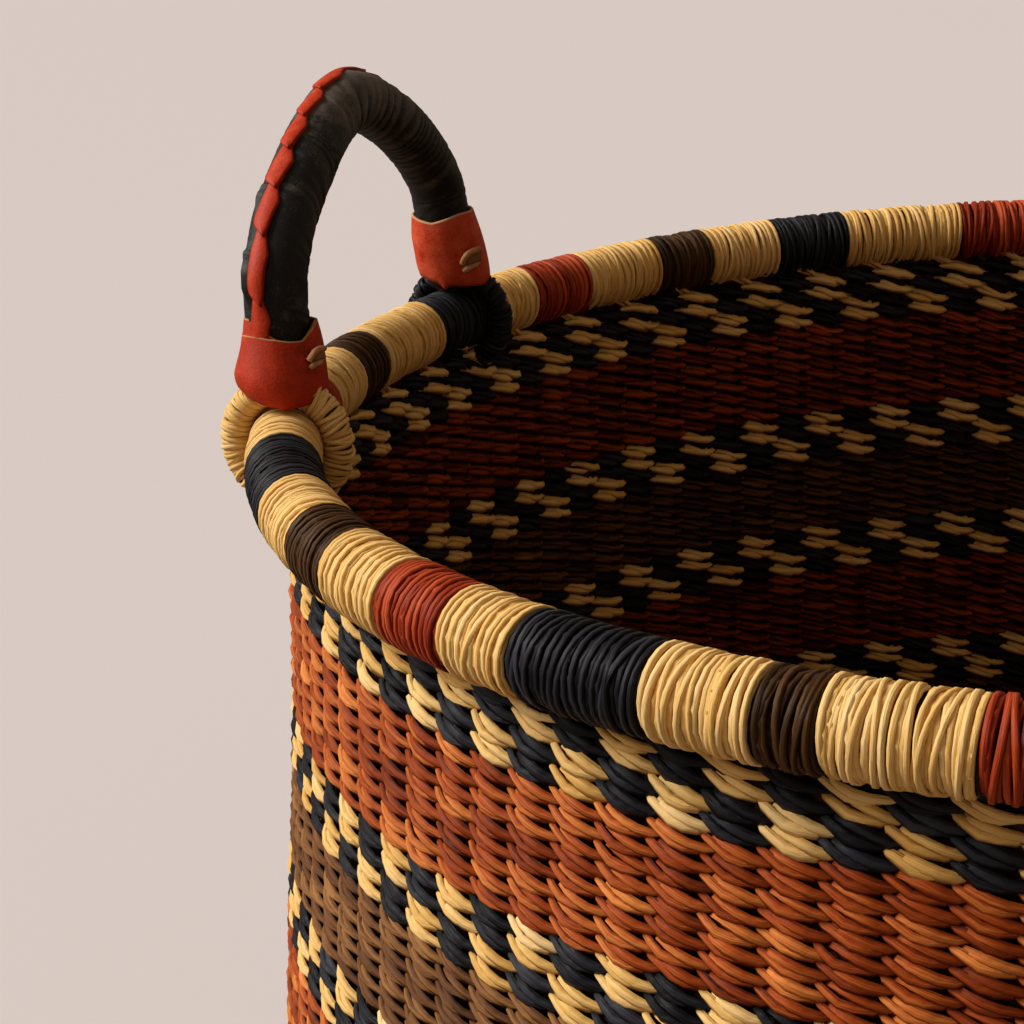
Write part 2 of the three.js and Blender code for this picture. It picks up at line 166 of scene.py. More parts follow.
naturalStraw = strawMaterial("natural grass straw", "#ba8438", "#e0b468", "#f0ce92", 0.5, fleck="#b0a45c")
wallRustStraw = strawMaterial("rust dyed grass straw", "#3a0900", "#9c4110", "#e08a42", 0.5)
wallBrownStraw = strawMaterial("brown dyed grass straw", "#200e04", "#6a4222", "#a67642", 0.55)
blackStraw = strawMaterial("black dyed grass straw", "#020203", "#131318", "#33343c", 0.45)
rimRustStraw = strawMaterial("dark rust dyed grass straw", "#3c0802", "#8e2c0e", "#cb5a30", 0.5)
rimBrownStraw = strawMaterial("dark brown dyed grass straw", "#100703", "#352009", "#5b3c1e", 0.5)
# the stalks inside the weave, rim and handles are real parts, coloured dark as painted shade for the gaps
# they show through
stalkStrawPaintedShade = strawMaterial("bare stalk dark as painted shade", "#150a04", "#2e1a0a", "#4a2e14", 0.6)
blackLeather = leatherMaterial("black goat leather", "#020202", "#11100f", "#6a625a", 0.6, 0.25)
redLeather = leatherMaterial("red goat leather", "#6a0c02", "#b0300e", "#e26644", 0.55, 0.16)
rawhide = leatherMaterial("bare cut leather edge", "#5c3818", "#b07c54", "#dcb08a", 0.75, 0.15)
print("materials made")


# Surfaces worked out as arrays

# Puts points and faces into a mesh object. A face set is (faces, their UV, number of their material).
# Faces that enclose a negative volume are turned outwards.
def addPiece(name, points, faceSets, materials, tone):
    volume = 0
    for faces, _, _ in faceSets:
        for k in range(1, faces.shape[1] - 1):
            opposite = np.cross(points[faces[:, k]], points[faces[:, k + 1]])
            volume += np.einsum("ij,ij->", points[faces[:, 0]], opposite)
    if volume < 0:
        faceSets = [(faces[:, ::-1], uv[:, ::-1], slot) for faces, uv, slot in faceSets]
    loops = np.concatenate([faces.ravel() for faces, _, _ in faceSets])
    uvs = np.concatenate([uv.reshape(-1, 2) for _, uv, _ in faceSets])
    totals = np.concatenate([np.full(len(faces), faces.shape[1]) for faces, _, _ in faceSets])
    slots = np.concatenate([np.broadcast_to(slot, len(faces)) for faces, _, slot in faceSets])
    mesh = bpy.data.meshes.new(name)
    mesh.vertices.add(len(points))
    mesh.vertices.foreach_set("co", (points * mm).astype(np.float32).ravel())
    mesh.loops.add(len(loops))
    mesh.loops.foreach_set("vertex_index", loops.astype(np.int32))
    mesh.polygons.add(len(totals))
    mesh.polygons.foreach_set("loop_start", (np.cumsum(totals) - totals).astype(np.int32))
    mesh.polygons.foreach_set("loop_total", totals.astype(np.int32))
    for material in materials:
        mesh.materials.append(material)
    mesh.polygons.foreach_set("material_index", slots.astype(np.int32))
    mesh.polygons.foreach_set("use_smooth", np.ones(len(totals), bool))
    layer = mesh.uv_layers.new(name="strand")
    layer.uv.foreach_set("vector", uvs.astype(np.float32).ravel())
    tones = mesh.attributes.new("tone", "FLOAT", "POINT")
    tones.data.foreach_set("value", np.ravel(tone).astype(np.float32))
    mesh.update(calc_edges=True)
    mesh.validate()
    piece = bpy.data.objects.new(name, mesh)
    scene.collection.objects.link(piece)
    return piece


def settle(piece, body, replaced):
    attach(piece, body)
    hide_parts(replaced)


# Tubes, each with its rings[step, side] joined along and round, and its UV in mm from along[step (+ 1 if
# closed)] and around[side + 1]. A tube has a tone[step] or tone[step, side], and which of the materials.
# Open tubes get a cap at each end.
def addTubes(name, materials, around, rings, along, tone=None, which=None, closed=False):
    sides = len(around) - 1
    which = np.zeros(len(rings), int) if which is None else which
    points, quads, uvs, tones, caps = [], [], [], [], []
    offset = 0
    for number, tube in enumerate(rings):
        index = offset + np.arange(len(tube) * sides).reshape(-1, sides)
        offset += index.size
        here, ahead = (index, np.roll(index, -1, 0)) if closed else (index[:-1], index[1:])
        quads.append(np.stack([here, ahead, np.roll(ahead, -1, 1), np.roll(here, -1, 1)], -1).reshape(-1, 4))
        start, end = along[number][:-1, None], along[number][1:, None]
        corners = [(start, around[:-1]), (end, around[:-1]), (end, around[1:]), (start, around[1:])]
        corners = [np.stack(np.broadcast_arrays(*corner), -1) for corner in corners]
        uvs.append(np.stack(corners, -2).reshape(-1, 4, 2))
        shade = np.full(len(tube), 0.5) if tone is None else tone[number]
        tones.append(np.broadcast_to(shade.reshape(len(tube), -1), index.shape).ravel())
        points.append(tube.reshape(-1, 3))
        caps.append(np.stack([index[0][::-1], index[-1]]))
    slots = np.repeat(which, [len(faces) for faces in quads])
    faceSets = [(np.concatenate(quads), np.concatenate(uvs), slots)]
    if not closed:
        capUv = np.broadcast_to(roundShape(sides), (2 * len(caps), sides, 2))  # mm across the end
        faceSets.append((np.concatenate(caps), capUv, np.repeat(which, 2)))
    return addPiece(name, np.concatenate(points), faceSets, materials, np.concatenate(tones))


# The faces of a sheet with two surfaces and an edge all round, from index[surface, row, column]
def sheetQuads(index):
    faces = [np.stack([s[:-1, :-1], s[1:, :-1], s[1:, 1:], s[:-1, 1:]], -1).reshape(-1, 4) for s in index]
    border = np.concatenate([index[:, :-1, 0], index[:, -1, :-1], index[:, :0:-1, -1], index[:, 0, :0:-1]], 1)
    after = np.roll(border, -1, 1)
    edge = np.stack([border[0], border[1], after[1], after[0]], -1)
    return np.concatenate([faces[0], faces[1][:, ::-1], edge]), len(edge)


# A tube's rings along paths[..., step]: the section's outward axis is given, the other is square to it
# and to the path. shape[side] = (across, out) in shares of the half width and half thickness.
def sweep(paths, outward, halfWidth, halfThickness, shape, closed=False):
    if closed:
        ahead = np.roll(paths, -1, -2) - np.roll(paths, 1, -2)
    else:
        ahead = np.gradient(paths, axis=-2)
    across = unit(np.cross(ahead, outward))
    out = unit(np.cross(across, ahead))
    wide = (halfWidth[..., None] * shape[:, 0])[..., None] * across[..., None, :]
    thick = (halfThickness[..., None] * shape[:, 1])[..., None] * out[..., None, :]
    return paths[..., None, :] + wide + thick


def unit(vectors):
    return vectors / np.linalg.norm(vectors, axis=-1, keepdims=True)


def polar(radius, azimuth, height):  # points from their radius, azimuth and height
    return np.stack(np.broadcast_arrays(radius * np.cos(azimuth), radius * np.sin(azimuth), height), -1)


def fullTurn(count):
    return np.linspace(0, 2 * math.pi, count, endpoint=False)


def roundShape(sides):
    return np.stack([np.sin(fullTurn(sides)), -np.cos(fullTurn(sides))], -1)


def smooth(line, times):  # a line's inner points drawn to the mean of their neighbours
    for _ in range(times):
        line[1:-1] = (line[:-2] + 2 * line[1:-1] + line[2:]) / 4
    return line


# A smooth random curve: values at whole numbers, joined by half cosines
def smoothNoise(rng, at, spread=1.0):
    low = int(np.floor(at.min()))
    values = rng.normal(0, spread, int(np.ceil(at.max())) - low + 2)
    whole = np.floor(at).astype(int)
    ease = (1 - np.cos(math.pi * (at - whole))) / 2
    return values[whole - low] * (1 - ease) + values[whole - low + 1] * ease


def cornersOf(name):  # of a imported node, in mm
    return np.array([v.co for v in nodes[name].data.vertices]) / mm


# The wall's outer radius at a height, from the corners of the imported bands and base
def wallPoints():
    found = {}
    for name in nodes:
        if "_band_" in name or name == "woven_base":
            co = cornersOf(name)
            radius = np.hypot(co[:, 0], co[:, 1])
            for height in np.unique(co[:, 2].round(1)):
                at = np.abs(co[:, 2] - height) < 0.06
                found[height] = max(found.get(height, 0), radius[at].max())
    heights = np.array(sorted(found))
    radii = np.array([found[height] for height in heights])
    keep = radii > 200
    return heights[keep], radii[keep]


weave = {
    "stitches": 114,  # stakes round the wall
    "firstStake": 221.3,  # degrees from +X
    "thickness": 6.1,  # of the wall, crest to crest
    "rowHeight": 4.1,  # that the stalks' heights below are for
    "stalkWidth": (3.7, 4.9),  # half the width of a stake's stalk, and of the thin one between two stakes
    "stalkThickness": (0.8, 0.15),  # half their thickness
    "stalkInset": (0.0, 0.5),  # how far inside the weave's middle they lie
    "stakesFrom": 7,  # height at which the stakes leave the base's weave
    "spokeRadius": 1.3,
    "halfGap": 0.15,  # half the gap between two packed bands
    # spread of a pass: stitches along, mm up, mm out, and share of its width
    "stray": {"along": 0.05, "up": 0.23, "out": 0.17, "wide": 0.1},
    "toneSpread": 0.17,  # from pass to pass
    "baseMiddle": 3.9,  # height of the middle of the base's weave
    "footCourses": {"check": 4, "rust": 4},
    "insidePaintedShade": {"check": 0.0, "rust": -0.45, "brown": -0.4},  # painted shade: the passes on the inside of the wall and base are darker by this
    # A strand is two stalks side by side. Each passes outside one stake and inside the next, which is the
    # same pass turned half round about the upright, so it repeats every two stitches. The rows of a pass
    # are: stitches from the stake, height in its row, distance out of the weave's middle, half width and
    # half thickness.
    "lowStalk": [
        (-0.50, 1.75, 0.9, 1.05, 0.8), (-0.32, 0.95, 1.75, 1.2, 0.9), (-0.10, -0.45, 2.25, 1.35, 0.95),
        (0.14, -1.1, 2.05, 1.35, 0.95), (0.36, -1.4, 1.0, 1.15, 0.8),
    ],
    "highStalk": [
        (-0.30, 2.05, 0.85, 0.95, 0.75), (-0.12, 1.65, 1.85, 1.2, 0.9), (0.10, 0.95, 2.35, 1.38, 0.95),
        (0.32, 0.05, 2.05, 1.35, 0.9), (0.56, -0.75, 1.0, 1.1, 0.8),
    ],
    "insideUp": {"lowStalk": 0.6, "highStalk": -0.7, "baseStalk": 0.0},  # higher on the inside by this
    "insideOut": -0.3,
    "baseStalk": [(-0.42, 1.3, 0.5, 1.2, 0.8), (0.0, 0.0, 2.25, 2.0, 1.0), (0.42, -1.2, 0.5, 1.1, 0.7)],
}
courseCounts = {"check": 4, "rust": 8, "brown": 7}
wallHeights, wallRadii = wallPoints()
stalkShape = np.array([[0, -1], [1, 0], [0, 1], [-1, 0]])


# The weave's middle surface at a height: radius, and the outward normal in (radius, height)
def wallMiddle(height):
    step = 4.0
    outer = np.interp(height, wallHeights, wallRadii)
    rise = np.interp(height + step, wallHeights, wallRadii) - np.interp(height - step, wallHeights, wallRadii)
    low = np.maximum(height - step, wallHeights[0])
    high = np.minimum(height + step, wallHeights[-1])
    slope = rise / (high - low)
    normal = np.stack([np.ones_like(slope), -slope], -1)
    return outer - weave["thickness"] / 2, unit(normal)


# Twined courses: two strands a stitch apart, each of stalks whose passes along one double stitch are in
# the weave dictionary, repeated round the wall with a small stray for each pass.
def twinedRings(rng, middle, height, normal, stitches, rowHeight, insidePaintedShade,
                stalks=("lowStalk", "highStalk")):
    count, pairs = len(middle), stitches // 2
    scale = rowHeight / weave["rowHeight"]
    normalR, normalZ = (normal[:, k].reshape(-1, 1, 1, 1) for k in (0, 1))
    strand = np.array([0.0, 1.0]).reshape(1, 2, 1, 1)
    pair = 2.0 * np.arange(pairs).reshape(1, 1, -1, 1)
    # the passes on the inside get painted shade, darker than those outside
    passTone = 0.5 + rng.normal(0, weave["toneSpread"], (count, 2, pairs, 2)) * [1, 0.6] + [0, insidePaintedShade]
    length = (2 * math.pi * middle / stitches).reshape(-1, 1, 1)
    allRings, allAlong, allTone = [], [], []
    for stalk in stalks:
        outside = np.array(weave[stalk])
        inside = outside[::-1] * [-1, 1, -1, 1, 1]
        if len(outside) > 3:  # one point fewer where it isn't seen
            inside = inside[1:]
        inside[:, :3] += [1 + outside[0, 0] + outside[-1, 0], weave["insideUp"][stalk], weave["insideOut"]]
        place, up, out, wide, thick = np.concatenate([outside, inside]).T
        which = np.repeat([0, 1], [len(outside), len(inside)])
        hold = np.clip(np.abs(out) / out.max(), 0.2, 1)  # pinched where strands cross

        def stray(way):
            return rng.normal(0, weave["stray"][way], (count, 2, pairs, 2))[..., which] * hold

        t = strand + pair + place + stray("along")
        up = (up + stray("up")) * scale
        out = out * min(scale, 1) + stray("out")
        wide = np.broadcast_to(wide * scale, t.shape) * (1 + stray("wide"))
        thick = np.broadcast_to(thick * min(scale, 1), t.shape)
        radius = middle.reshape(-1, 1, 1, 1) + out * normalR - up * normalZ
        z = height.reshape(-1, 1, 1, 1) + out * normalZ + up * normalR
        azimuth = math.radians(weave["firstStake"]) + t * 2 * math.pi / stitches
        path = polar(radius, azimuth, z)
        outward = polar(normalR, azimuth, normalZ)
        tubes = (count * 2, pairs * len(place))
        rings = sweep(path.reshape(*tubes, 3), outward.reshape(*tubes, 3), wide.reshape(tubes),
                      thick.reshape(tubes), stalkShape, closed=True)
        along = t.reshape(count, 2, -1)
        along = np.concatenate([along, along[..., :1] + stitches], -1) * length
        along = along + rng.uniform(0, 900, (count, 2, 1))
        tone = passTone[..., which] + rng.normal(0, 0.07, (count, 2, pairs, 1))
        allRings.append(rings)
        allAlong.append(along.reshape(count * 2, -1))
        allTone.append(tone.reshape(tubes))
    return np.concatenate(allRings), np.concatenate(allAlong), np.concatenate(allTone)


hinges = {joint["child"]: np.array(joint["pos_m"]) / mm for joint in frame["joints"]}


def halfSpanOf(side):  # from the middle of a handle to each loop
    low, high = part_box(side + "_front_loop_winding")
    return abs(low.y + high.y) / 2 / mm


loop = {
    "halfSpan": halfSpanOf("left"),
    "straw": 0.64,  # radius of one turn's straw
    "steps": 14,  # points in a turn
    "coils": [(1.25, 0.35, 0.25), (1.9, 0.0, 0.6)],  # these five as on the rim
    "section": (1.15, 0.85),
    "sizeSpread": 0.1,
    "depthSpread": 0.15,
    "toneSpread": 0.16,
    "bare": 8,  # degrees each side of the leg, under the cuff
    "wallClearance": 0.4,
    "mostPush": 2.0,  # how far it moves a stalk of the wall
    "below": 35,  # the wall's rows are clear of it from here down
    # radius of the loop round the rim, radius over its straw, and how much wider it is than deep
    "natural": {"ring": 14.4, "tube": 4.4, "spread": 1.0},
    "black": {"ring": 13.7, "tube": 3.7, "spread": 1.15},
    "flare": (0.6, 35),  # how much wider yet it gets at the leg, and within what angle
}


# Points nearer a loop's ring than its clearance are pushed straight out to it, as straw is by an awl
def openForLoops(points):
    thickest = loop["natural"]
    keepOut = thickest["tube"] + loop["wallClearance"]
    for hinge in hinges.values():
        for side in (-1, 1):
            centre = np.array([hinge[0], side * loop["halfSpan"], hinge[2]])
            away = points - centre
            flat = np.hypot(away[..., 0], away[..., 2])
            spoke = np.stack([away[..., 0] / flat, np.zeros_like(flat), away[..., 2] / flat], -1)
            offset = away - spoke * thickest["ring"]
            distance = np.linalg.norm(offset, axis=-1, keepdims=True)
            short = np.minimum(keepOut - distance, loop["mostPush"])
            pushed = points + offset / np.maximum(distance, 1e-6) * short
            near = distance[..., 0] < keepOut
            points[near] = pushed[near]
    return points


stalkAround = np.array([0, 1.6, 3.2, 4.8, 6.4])  # mm round a stalk's section

bandStraws = {"check": [naturalStraw, blackStraw], "rust": [wallRustStraw], "brown": [wallBrownStraw]}


def weaveBand(name, seed, heights, colour, replaced):
    rng = np.random.default_rng(seed)
    middle, normal = wallMiddle(heights)
    rowHeight = heights[0] - heights[1]
    rings, along, tone = twinedRings(rng, middle, heights, normal, weave["stitches"], rowHeight,
                                     weave["insidePaintedShade"][colour])
    if heights.max() > hinges["left_handle"][2] - loop["below"]:
        rings = openForLoops(rings)
    which = None
    if colour == "check":  # natural in front of the even stakes for two courses, then of the odd ones
        strand = np.tile([0, 1], 2 * len(heights))
        fromBottom = np.tile(np.repeat(np.arange(len(heights))[::-1], 2), 2)
        which = (strand + 1 + fromBottom // 2) % 2
    piece = addTubes(name, bandStraws[colour], stalkAround, rings, along, tone, which, closed=True)
    settle(piece, "basket", replaced)


def courseHeights(low, high, count):  # middles of count equal courses, from the top down
    step = (high - low) / count
    return high - step * (np.arange(count) + 0.5)


def makeWall():
    for name in sorted(nodes):
        if "_band_" not in name:
            continue
        colour = name.split("_")[0]
        low, high = (corner.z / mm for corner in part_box(name))
        heights = courseHeights(low - weave["halfGap"], high + weave["halfGap"], courseCounts[colour])
        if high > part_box("rim_roll")[0].z / mm - 2:  # one more course, half hidden by the roll
            heights = np.concatenate([[2 * heights[0] - heights[1]], heights])
        weaveBand("woven_" + name, 100 + sorted(nodes).index(name), heights, colour, name)


base = {
    "rings": 5.2,  # mm between the base's courses
    "spokes": [(9, 50, 28), (50, 105, 56), (105, 154, 114), (154, 204, 114)],  # from radius, to radius, count
    "footLow": 4.5,  # height at which the foot's rust courses start
    "checkHeight": 17.5,
    "knot": (8.5, 2.9),  # radius and half height
    "stakesTurn": [105, 150, 203],  # radii at which a stake's first points lie
}


def makeBase():
    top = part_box("woven_base")[1].z / mm + weave["halfGap"]
    checkLow = top - base["checkHeight"]
    for colour, low, high in (("check", checkLow, top), ("rust", base["footLow"], checkLow)):
        name = "foot_" + colour
        heights = courseHeights(low, high, weave["footCourses"][colour])
        weaveBand(name, 300 + len(name), heights, colour, "woven_base")
    rng = np.random.default_rng(7)
    for number, (inner, outer, spokes) in enumerate(base["spokes"], 1):
        count = int((outer - inner) / base["rings"])
        radii = inner + (np.arange(count) + 0.5) * (outer - inner) / count
        flat = np.full(count, weave["baseMiddle"])
        down = np.tile([0.0, -1.0], (count, 1))
        rings, along, tone = twinedRings(rng, radii, flat, down, spokes, (outer - inner) / count,
                                         weave["insidePaintedShade"]["rust"], ["baseStalk"])
        name = f"base_rings_{number}"
        piece = addTubes(name, [wallRustStraw], stalkAround, rings, along, tone, closed=True)
        settle(piece, "basket", "woven_base")


# Stakes: two flat stalks side by side at the middle of the weave, up the wall from the base, where they
# are spokes
def makeStakes():
    rng = np.random.default_rng(11)
    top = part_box("rim_roll")[0].z / mm + 3
    count = 2 * weave["stitches"]
    azimuth = math.radians(weave["firstStake"]) + np.arange(count) * 2 * math.pi / count
    azimuth = (azimuth + rng.normal(0, 0.0006, count))[:, None]
    heights = np.concatenate([[weave["baseMiddle"]] * 3, np.linspace(weave["stakesFrom"], top, 18)])
    radii = wallMiddle(heights)[0]
    radii[:3] = base["stakesTurn"]
    inset, wide, thick = (np.tile(weave[key], weave["stitches"])[:, None] for key in (
        "stalkInset", "stalkWidth", "stalkThickness"))
    paths = polar(radii - inset, azimuth, heights)
    aside = np.stack([-np.sin(azimuth), np.cos(azimuth), np.zeros((count, 1))], -1)
    wide = wide * radii / radii.max()
    thick = np.broadcast_to(thick * (1 + rng.normal(0, 0.1, (count, 1))), paths.shape[:2])
    rings = openForLoops(sweep(paths, aside, thick, wide, roundShape(6)))
    along = np.concatenate([[0], np.cumsum(np.hypot(np.diff(radii), np.diff(heights)))])
    along = along + rng.uniform(0, 500, (count, 1))
    tone = 0.5 + np.repeat(rng.normal(0, 0.2, (count, 1)), len(heights), 1)
    stakes = addTubes("stakes", [stalkStrawPaintedShade], np.linspace(0, 12.8, 7), rings, along, tone)
    settle(stakes, "basket", "stake_wall")
    paths = []
    for inner, outer, spokes in base["spokes"][:2]:
        turn = math.radians(weave["firstStake"]) + np.arange(spokes)[:, None] * 2 * math.pi / spokes
        paths.append(polar(np.linspace(inner - 5, outer + 3, 3), turn, weave["baseMiddle"]))
    paths = np.concatenate(paths)
    size = np.full(paths.shape[:2], weave["spokeRadius"])
    rings = sweep(paths, np.array([0.0, 0, 1]), size, size, roundShape(6))
    along = np.tile([0.0, 30.0, 60.0], (len(paths), 1))
    piece = addTubes("base_spokes", [stalkStrawPaintedShade], np.linspace(0, 6.9, 7), rings, along)
    settle(piece, "basket", "woven_base")


# The knot in the base's middle, a flat button of crossed stalks: radius sin(ring), half height cos(ring)
def makeKnot():
    turn, ring = np.meshgrid(fullTurn(40), np.linspace(0, math.pi, 12)[1:-1])
    radius, halfHeight = base["knot"]
    radius = (radius + 0.4 * np.cos(10 * turn)) * np.sin(ring)
    button = polar(radius, turn, weave["baseMiddle"] + halfHeight * np.cos(ring)).reshape(-1, 3)
    index = np.arange(len(button)).reshape(turn.shape)
    after = np.roll(index, -1, 1)
    quads = np.stack([index[:-1], index[1:], after[1:], after[:-1]], -1).reshape(-1, 4)
    caps = np.stack([index[0][::-1], index[-1]])
    faceSets = [(faces, button[faces][..., :2], 0) for faces in (quads, caps)]
    knot = addPiece("base_knot", button, faceSets, [wallRustStraw], np.full(len(button), 0.5))
    settle(knot, "basket", "woven_base")


makeWall()
print("wall woven")
makeBase()
makeStakes()
makeKnot()
print("base and stakes made")


rollCorners = cornersOf("rim_roll")
rollReaches = np.hypot(rollCorners[:, 0], rollCorners[:, 1])
rim = {
    "radius": (rollReaches.max() + rollReaches.min()) / 2,
    "roll": (rollReaches.max() - rollReaches.min()) / 2,
    "height": hinges["left_handle"][2],
    "straw": 0.72,  # radius of one turn's straw
    # Two coils over each other: mm from one turn to the next, how much deeper the coil lies, how far a turn
    # leans along the rim, and the points in a turn
    "coils": [(1.3, 0.45, 0.5, 14), (2.1, 0.0, 0.95, 22)],
    "section": (1.1, 0.8),  # a straw's half width and half thickness, in shares of its radius
    "sizeSpread": 0.12,
    "depthSpread": 0.2,
    "toneSpread": 0.17,
    "tuck": 1.6,  # how far a coil's ends go down
    "bundle": 8.3,  # radius of the stalks inside
}
strawShape = roundShape(5)
strawAround = np.linspace(1.6, 4.8, 6)  # mm round a straw, with its crest in the middle


# Turns of straw round the roll from one azimuth to another, as one coil. At a turn's angle, from the
# outside over the top, the straw lies rim.roll - straw from the roll's middle, at its share of the
# stretch along the rim. A turn lies in a plane that leans by a smooth random amount, so that turns
# cross, and it strays a little in its depth. The coil's ends go down into the bundle.
def rimCoil(rng, start, end, pitch, depth, lean, steps):
    length = (end - start) * rim["radius"]
    turns = max(int(round(length / pitch)), 3)
    share = np.arange(turns * steps + 1) / (turns * steps)
    number = share * turns
    turn = number * 2 * math.pi - math.pi / 2
    inset = rim["straw"] + 0.1
    along = inset + np.clip((number - 0.5) / (turns - 1), 0, 1) * (length - 2 * inset)
    edge = np.minimum(number, turns - number)
    lean = lean * np.clip(edge / 2, 0.2, 1)
    along = along + lean * smoothNoise(rng, number * 0.9) * np.sin(turn)
    along = along + lean * smoothNoise(rng, number * 0.9) * np.cos(turn)
    along = np.clip(along, 0.25, length - 0.25)
    size = rim["straw"] * (1 + smoothNoise(rng, number * 1.3, rim["sizeSpread"]))
    reach = rim["roll"] - size * 0.85 - depth
    reach = reach + np.clip(smoothNoise(rng, number * 1.7, rim["depthSpread"]), -0.5, 0.12)
    reach = reach - rim["tuck"] * np.clip(1 - edge / 0.3, 0, 1)
    azimuth = start + along / rim["radius"]
    out = rim["radius"] + reach * np.cos(turn)
    path = polar(out, azimuth, rim["height"] + reach * np.sin(turn))
    outward = polar(np.cos(turn), azimuth, np.sin(turn))
    rings = sweep(path, outward, size * rim["section"][0], size * rim["section"][1], strawShape)
    distance = rng.uniform(0, 900) + turn * reach.mean()
    tone = 0.5 + smoothNoise(rng, number * 1.2, rim["toneSpread"])
    return rings, distance, tone


def stretchOf(node):  # the azimuths where a coloured stretch starts and ends
    co = cornersOf(node)
    azimuth = np.arctan2(co[:, 1], co[:, 0])
    middle = math.atan2(np.sin(azimuth).mean(), np.cos(azimuth).mean())
    spread = (azimuth - middle + math.pi) % (2 * math.pi) - math.pi
    return middle + spread.min(), middle + spread.max()


def makeRim():
    colours = {"rust": rimRustStraw, "black": blackStraw, "brown": rimBrownStraw}
    names = [name for name in nodes if name.startswith("rim_wrap_")]
    spans = sorted((stretchOf(name), name) for name in names)
    for number, ((start, end), name) in enumerate(spans):
        rng = np.random.default_rng(500 + number)
        coils = [rimCoil(rng, start, end, *coil) for coil in rim["coils"]]
        colour = name.split("_")[2]
        piece = addTubes(name.replace("rim_wrap", "rim_turns"), [colours[colour]], strawAround, *zip(*coils))
        settle(piece, "basket", name)
    rng = np.random.default_rng(42)
    coils = []
    for here, after in zip(spans, spans[1:] + [((spans[0][0][0] + 2 * math.pi, 0), "")]):
        coils += [rimCoil(rng, here[0][1], after[0][0], *coil) for coil in rim["coils"]]
    for number in range(3):  # a third of the rim each, to keep a piece small
        share = coils[number * len(coils) // 3:(number + 1) * len(coils) // 3]
        piece = addTubes(f"rim_turns_natural_{number + 1}", [naturalStraw], strawAround, *zip(*share))
        settle(piece, "basket", "rim_roll")
    # the bundle of stalks that the turns bind, a ring with shallow furrows
    turn, side = fullTurn(240)[:, None], fullTurn(24)
    reach = rim["bundle"] + 0.25 * np.cos(6 * side)
    ring = polar(rim["radius"] + reach * np.cos(side), turn, rim["height"] + reach * np.sin(side))
    along = np.arange(241) * 2 * math.pi * rim["radius"] / 240
    bundle = addTubes("rim_bundle", [stalkStrawPaintedShade], np.linspace(0, 53, 25), [ring], [along], closed=True)
    settle(bundle, "basket", "rim_roll")


makeRim()
print("rim bound")


# Handles, in the handle's own frame: hinge line along Y, +X out of the basket
handle = {
    "halfSpan": loop["halfSpan"],
    "height": 78,  # of the arch's middle line above the hinge
    "leg": 40,  # straight part of each leg
    "draw": 5.8,  # how far a leg leans in over that height
    "fullness": 1.38,
    "tilt": 3.7,  # degrees outwards, at rest
    "radius": 8.4,  # of the leather
    "start": 19.5,  # where the leather starts, under the cuff
    "wrinkle": 4.6,  # mm between folds of the leather
    "wrinkleDepth": 0.58,
    "aslant": (0.7, 0.55),  # how far a fold runs on along the arch, in folds: over and under, out and in
    "drift": 0.8,  # stray of the folds, in folds
    "paintedLight": 0.6,  # painted light: how much paler it is on top of the bend
    "crest": 0.4,  # painted light on a fold's crest, and painted shade in its hollow
    "flap": (31, 1.3),  # the leather's edge beside the lacing: its turn, and how far it stands out
}

legLean = math.atan2(handle["draw"], handle["leg"])


# Middle line of the arch: straight legs that lean in, then y = reach sin(turn)^f, z = leg + rise cos(turn)^f.
# Returns points at equal steps of length, the length from the start, and the arch's outward normal.
def archLine(start, count):
    turn = np.linspace(-math.pi / 2, math.pi / 2, 721)
    full, reach = handle["fullness"], handle["halfSpan"] - handle["draw"]
    y = reach * np.sign(np.sin(turn)) * np.abs(np.sin(turn)) ** full
    z = handle["leg"] + (handle["height"] - handle["leg"]) * np.clip(np.cos(turn), 0, 1) ** full
    foot = start * math.cos(legLean)
    footY = handle["halfSpan"] - start * math.sin(legLean)
    y = np.concatenate([[-footY], y, [footY]])
    z = np.concatenate([[foot], z, [foot]])
    length = np.concatenate([[0], np.cumsum(np.hypot(np.diff(y), np.diff(z)))])
    at = np.linspace(0, length[-1], count)
    y, z = (smooth(np.interp(at, length, line), 3 * count // 100) for line in (y, z))
    ahead = unit(np.stack([np.gradient(y), np.gradient(z)], -1))
    points = np.stack([np.zeros(count), y, z], -1)
    normal = np.stack([np.zeros(count), -ahead[:, 1], ahead[:, 0]], -1)
    return points, at, normal


def hingeSpoke(turn):  # square to the hinge line, from +X over the top
    return np.stack([np.cos(turn), np.zeros_like(turn), np.sin(turn)], -1)


# Points about an upright leg at the middle of the handle to a leg at one end, which leans in
def ontoLeg(points, place):
    lean = place * legLean
    y = points[..., 1] * math.cos(lean) - points[..., 2] * math.sin(lean)
    z = points[..., 1] * math.sin(lean) + points[..., 2] * math.cos(lean)
    return np.stack([points[..., 0], y + place * handle["halfSpan"], z], -1)


# Points in the handle's frame to the basket's: tilted, moved to the hinge, turned round for the left
def toBasket(points, side):
    tilt = math.radians(handle["tilt"])
    x = points[..., 0] * math.cos(tilt) + points[..., 2] * math.sin(tilt)
    z = -points[..., 0] * math.sin(tilt) + points[..., 2] * math.cos(tilt)
    hinge = hinges[side + "_handle"]
    turned = 1 if side == "right" else -1
    return np.stack([turned * x + hinge[0], turned * points[..., 1], z + hinge[2]], -1)


